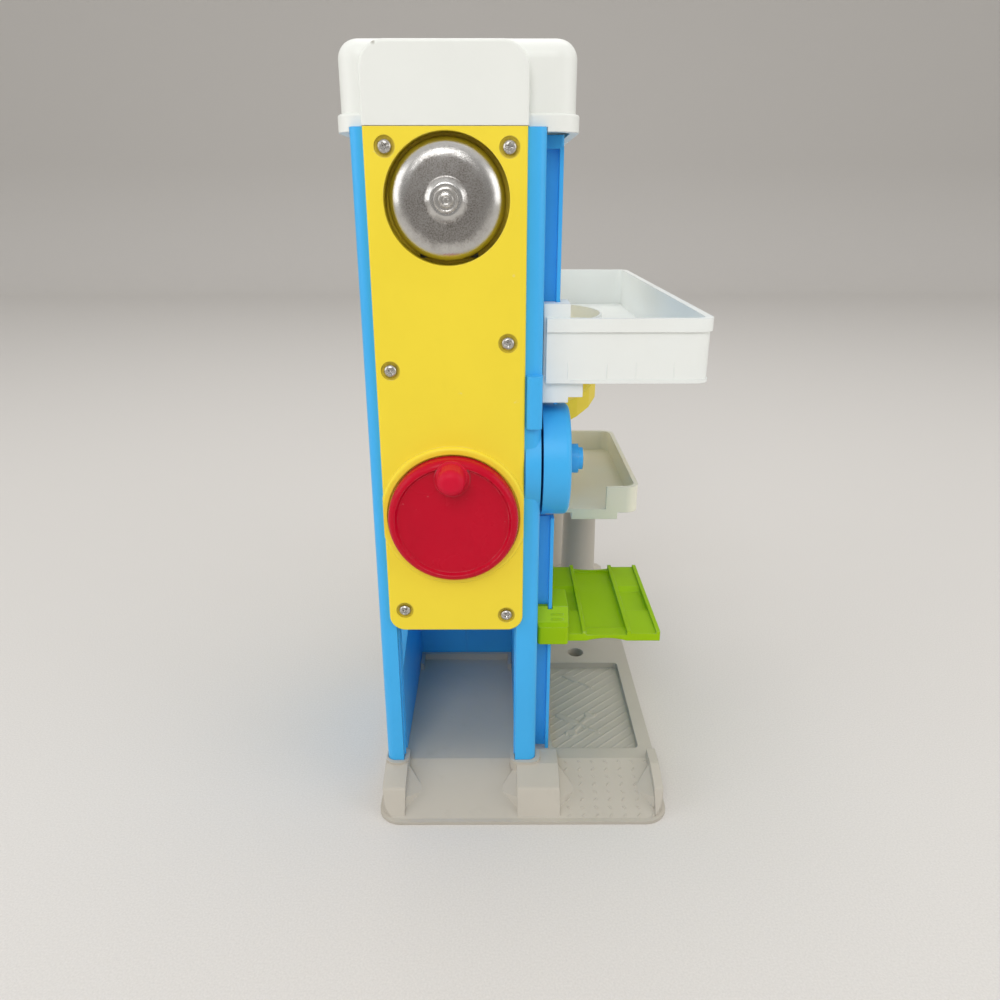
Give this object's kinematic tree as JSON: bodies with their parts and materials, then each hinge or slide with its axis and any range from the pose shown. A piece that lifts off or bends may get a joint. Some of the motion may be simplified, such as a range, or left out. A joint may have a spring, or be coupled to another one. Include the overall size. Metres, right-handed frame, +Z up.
{
  "type": "toy parking garage with lift",
  "caption": "Toy parking garage: lift tower with bell and crank wheel, hand-wheel service lift, parking decks and a spiral ramp on a base tray.",
  "frame": {"origin": "centre of the base tray's underside", "axes": "+Z up, +X towards the side with the service lift and the decks, +Y away from the face with the bell and the crank"},
  "size_m": [0.1901, 0.3675, 0.422],
  "materials": {
    "blue_plastic": "satin moulded",
    "grey_plastic": "satin moulded",
    "white_plastic": "glossy moulded",
    "yellow_plastic": "satin moulded",
    "red_plastic": "glossy moulded",
    "green_plastic": "glossy moulded",
    "bell_steel": "bright nickel, worn",
    "screw_steel": "zinc plated",
    "pin_steel": "ground",
    "gear_plastic": "natural moulded",
    "cord": "braided"
  },
  "bodies": {
    "garage": {"base_tray": "grey_plastic", "tower_left_half": "blue_plastic", "tower_right_half": "blue_plastic", "roof_cap": "white_plastic", "bell_crank_panel": "yellow_plastic", "mechanism_plate": "gear_plastic", "bell_gong": "bell_steel", "bell_screw": "screw_steel", "panel_screws": "screw_steel", "pulley_pin": "pin_steel", "hoist_cord_riser": "cord", "upper_deck": "white_plastic", "lower_deck": "white_plastic", "deck_column": "grey_plastic", "upper_deck_column": "grey_plastic", "spiral_core": "grey_plastic", "spiral_ramp": "yellow_plastic"},
    "crank": {"crank_wheel": "red_plastic", "crank_knob": "red_plastic", "crank_axle": "gear_plastic", "striker_cam": "gear_plastic", "cord_spool": "gear_plastic"},
    "striker": {"bell_striker": "gear_plastic"},
    "pulley": {"top_pulley": "gear_plastic"},
    "car_lift": {"car_lift_platform": "green_plastic", "hoist_cord_drop": "cord"},
    "service_lift": {"service_lift_platform": "green_plastic"},
    "knob": {"lift_knob": "blue_plastic", "knob_axle": "gear_plastic", "lift_pinion": "gear_plastic"}
  },
  "joints": [
    {"name": "car_lift_slide", "type": "slide", "parent": "garage", "child": "car_lift", "axis": [0, 0, 1], "range_m": [-0.242, 0], "deforming": ["hoist_cord_drop"]},
    {"name": "crank_spin", "type": "hinge", "parent": "garage", "child": "crank", "pos_m": [-0.0395, -0.15, 0.189], "axis": [0, 1, 0], "range_deg": [-1262, 0.5]},
    {"name": "pulley_spin", "type": "hinge", "parent": "garage", "child": "pulley", "pos_m": [-0.0285, -0.1209, 0.366], "axis": [1, 0, 0], "range_deg": [-1734, 0.5]},
    {"name": "striker_swing", "type": "hinge", "parent": "garage", "child": "striker", "pos_m": [-0.0395, -0.138, 0.262], "axis": [0, 1, 0], "range_deg": [-5, 5], "stiffness_Nm_per_rad": 0.02},
    {"name": "service_lift_slide", "type": "slide", "parent": "garage", "child": "service_lift", "axis": [0, 0, 1], "range_m": [-0.076, 0.046]},
    {"name": "knob_spin", "type": "hinge", "parent": "garage", "child": "knob", "pos_m": [0.01, -0.122, 0.213], "axis": [1, 0, 0], "range_deg": [-545, 330]}
  ],
  "couplings": [
    {"joint": "crank_spin", "follows": "car_lift_slide", "rad_per_m": 90.909},
    {"joint": "pulley_spin", "follows": "car_lift_slide", "rad_per_m": 125},
    {"joint": "knob_spin", "follows": "service_lift_slide", "rad_per_m": 125}
  ]
}
